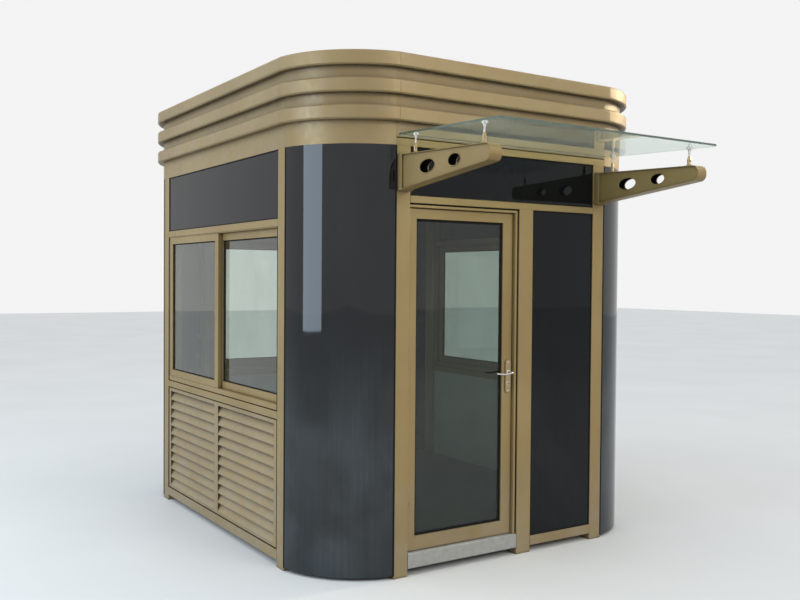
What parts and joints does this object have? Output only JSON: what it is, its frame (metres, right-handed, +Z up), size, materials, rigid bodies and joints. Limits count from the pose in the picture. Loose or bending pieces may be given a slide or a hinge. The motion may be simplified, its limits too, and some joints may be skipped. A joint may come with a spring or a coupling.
{
  "type": "security guard booth",
  "caption": "Small guard booth with curved dark glass corners, sliding windows over louvre panels, a glass door under a glass canopy and a banded metal crown.",
  "frame": {"origin": "on the ground, in the middle of the overall plan with the canopy counted", "axes": "+Z up, the door's wall faces -Y, +X to the right as seen from the door's side"},
  "size_m": [2.71, 4.09, 3.049],
  "materials": {
    "gold_paint": "satin champagne gold",
    "dark_glass": "dark tinted, mirror-like",
    "window_glass": "clear",
    "door_glass": "clear, lightly tinted",
    "canopy_glass": "clear with a green edge",
    "hardware": "polished",
    "pale_threshold": "matt pale grey",
    "grey_metal": "matt grey",
    "pale_lining": "matt off-white",
    "floor_sheet": "matt board"
  },
  "bodies": {
    "booth": {"front_posts": "gold_paint", "left_posts": "gold_paint", "right_posts": "gold_paint", "back_posts": "gold_paint", "floor_joists": "grey_metal", "floor_deck": "floor_sheet", "front_rails": "gold_paint", "front_mullion": "gold_paint", "sidelight_glass": "dark_glass", "threshold": "pale_threshold", "door_stops": "gold_paint", "door_frame": "gold_paint", "hinge_posts": "gold_paint", "wall_linings": "pale_lining", "transom_glass": "dark_glass", "crown_wall": "gold_paint", "crown_band_lower": "gold_paint", "crown_band_middle": "gold_paint", "crown_band_upper": "gold_paint", "ceiling": "pale_lining", "roof_deck": "grey_metal", "canopy_arms": "gold_paint", "canopy_standoffs": "hardware", "canopy_glass": "canopy_glass", "front_left_corner_glass": "dark_glass", "front_right_corner_glass": "dark_glass", "back_left_corner_glass": "dark_glass", "back_right_corner_glass": "dark_glass", "left_wall_frame": "gold_paint", "left_sashes": "gold_paint", "left_louvre_panel": "gold_paint", "left_window_panes": "window_glass", "right_wall_frame": "gold_paint", "right_sashes": "gold_paint", "right_louvre_panel": "gold_paint", "right_window_panes": "window_glass", "back_wall_frame": "gold_paint", "back_sashes": "gold_paint", "back_louvre_panel": "gold_paint", "back_window_panes": "window_glass"},
    "door": {"door_leaf": "gold_paint", "door_glass": "door_glass", "lock_plates": "hardware", "hinge_leaves": "gold_paint"},
    "lever": {"door_lever": "hardware"}
  },
  "joints": [
    {"name": "door_hinge", "type": "hinge", "parent": "booth", "child": "door", "pos_m": [-0.725, -1.1, 1.1525], "axis": [0, 0, -1], "range_deg": [0, 100]},
    {"name": "lever_turn", "type": "hinge", "parent": "door", "child": "lever", "pos_m": [0.031, -1.07, 1.166], "axis": [0, -1, 0], "range_deg": [0, 40], "stiffness_Nm_per_rad": 2, "springref_deg": -20.05}
  ]
}
